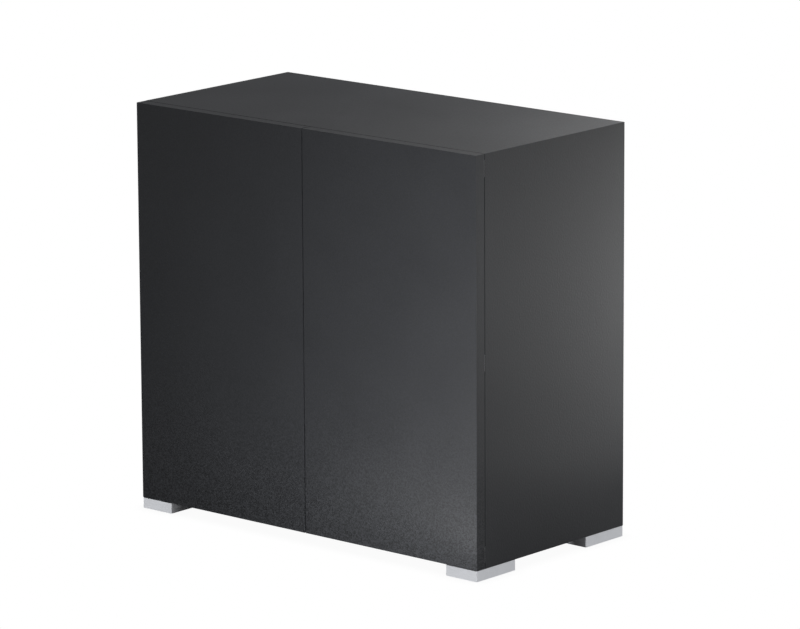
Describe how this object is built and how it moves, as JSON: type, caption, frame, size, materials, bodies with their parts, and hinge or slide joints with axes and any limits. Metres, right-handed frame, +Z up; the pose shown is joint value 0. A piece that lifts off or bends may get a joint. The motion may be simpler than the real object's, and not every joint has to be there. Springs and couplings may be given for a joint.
{
  "type": "aquarium stand cabinet",
  "caption": "Low rectangular base cabinet that carries an aquarium and hides its filter behind two handleless push-to-open doors, on flat silver block feet.",
  "frame": {"origin": "on the floor, under the centre of the cabinet's footprint", "axes": "+X to the right along the doors, +Y to the back, away from the doors, +Z up"},
  "size_m": [0.8, 0.406, 0.755],
  "materials": {
    "anthracite_board": "melamine-faced board, matt anthracite with a fine pearl grain",
    "back_board": "thin laminated fibreboard, matt dark grey",
    "silver_foot": "satin, faintly brushed",
    "nickel_plate": "nickel-plated pressed steel",
    "grey_plastic": "moulded, matt grey",
    "black_plastic": "moulded, matt black",
    "bumper_plastic": "soft translucent grey plastic",
    "pad_rubber": "soft matt rubber"
  },
  "bodies": {
    "carcass": {"left_side_panel": "anthracite_board", "right_side_panel": "anthracite_board", "top_panel": "anthracite_board", "bottom_panel": "anthracite_board", "centre_partition": "anthracite_board", "back_panel": "back_board", "left_hose_grommet": "black_plastic", "right_hose_grommet": "black_plastic", "shelf_pin_front_outer": "nickel_plate", "shelf_pin_front_inner": "nickel_plate", "shelf_pin_back_outer": "nickel_plate", "shelf_pin_back_inner": "nickel_plate", "front_left_foot": "silver_foot", "front_right_foot": "silver_foot", "back_left_foot": "silver_foot", "back_right_foot": "silver_foot", "front_left_glide_pad": "pad_rubber", "front_right_glide_pad": "pad_rubber", "back_left_glide_pad": "pad_rubber", "back_right_glide_pad": "pad_rubber", "left_lower_bumper": "bumper_plastic", "left_middle_bumper": "bumper_plastic", "left_upper_bumper": "bumper_plastic", "right_lower_bumper": "bumper_plastic", "right_middle_bumper": "bumper_plastic", "right_upper_bumper": "bumper_plastic", "left_lower_hinge_arm": "nickel_plate", "left_lower_hinge_plate": "nickel_plate", "left_upper_hinge_arm": "nickel_plate", "left_upper_hinge_plate": "nickel_plate", "right_lower_hinge_arm": "nickel_plate", "right_lower_hinge_plate": "nickel_plate", "right_upper_hinge_arm": "nickel_plate", "right_upper_hinge_plate": "nickel_plate", "left_push_latch_housing": "grey_plastic", "right_push_latch_housing": "grey_plastic"},
    "shelf": {"left_shelf": "anthracite_board"},
    "left_hinge_links": {"left_lower_hinge_link": "nickel_plate", "left_upper_hinge_link": "nickel_plate"},
    "left_door": {"left_door": "anthracite_board", "left_lower_hinge_cup": "nickel_plate", "left_upper_hinge_cup": "nickel_plate", "left_strike_plate": "nickel_plate"},
    "left_latch_plunger": {"left_push_latch_plunger": "black_plastic"},
    "right_hinge_links": {"right_lower_hinge_link": "nickel_plate", "right_upper_hinge_link": "nickel_plate"},
    "right_door": {"right_door": "anthracite_board", "right_lower_hinge_cup": "nickel_plate", "right_upper_hinge_cup": "nickel_plate", "right_strike_plate": "nickel_plate"},
    "right_latch_plunger": {"right_push_latch_plunger": "black_plastic"}
  },
  "joints": [
    {"name": "shelf_lift", "type": "slide", "parent": "carcass", "child": "shelf", "axis": [0, 0, 1], "range_m": [0, 0.032]},
    {"name": "left_door_swing", "type": "hinge", "parent": "left_hinge_links", "child": "left_door", "pos_m": [-0.389, -0.185, 0.38], "axis": [0, 0, -1], "range_deg": [0, 165]},
    {"name": "left_link_swing", "type": "hinge", "parent": "carcass", "child": "left_hinge_links", "pos_m": [-0.373, -0.18, 0.38], "axis": [0, 0, 1], "range_deg": [0, 66.01]},
    {"name": "left_latch_push", "type": "slide", "parent": "carcass", "child": "left_latch_plunger", "axis": [0, -1, 0], "range_m": [0, 0.014]},
    {"name": "right_door_swing", "type": "hinge", "parent": "right_hinge_links", "child": "right_door", "pos_m": [0.389, -0.185, 0.38], "axis": [0, 0, 1], "range_deg": [0, 165]},
    {"name": "right_link_swing", "type": "hinge", "parent": "carcass", "child": "right_hinge_links", "pos_m": [0.373, -0.18, 0.38], "axis": [0, 0, -1], "range_deg": [0, 66.01]},
    {"name": "right_latch_push", "type": "slide", "parent": "carcass", "child": "right_latch_plunger", "axis": [0, -1, 0], "range_m": [0, 0.014]}
  ],
  "couplings": [
    {"joint": "left_link_swing", "follows": "left_door_swing", "ratio": 0.4},
    {"joint": "left_latch_push", "follows": "left_door_swing", "m_per_rad": 0.00486},
    {"joint": "right_link_swing", "follows": "right_door_swing", "ratio": 0.4},
    {"joint": "right_latch_push", "follows": "right_door_swing", "m_per_rad": 0.00486}
  ]
}
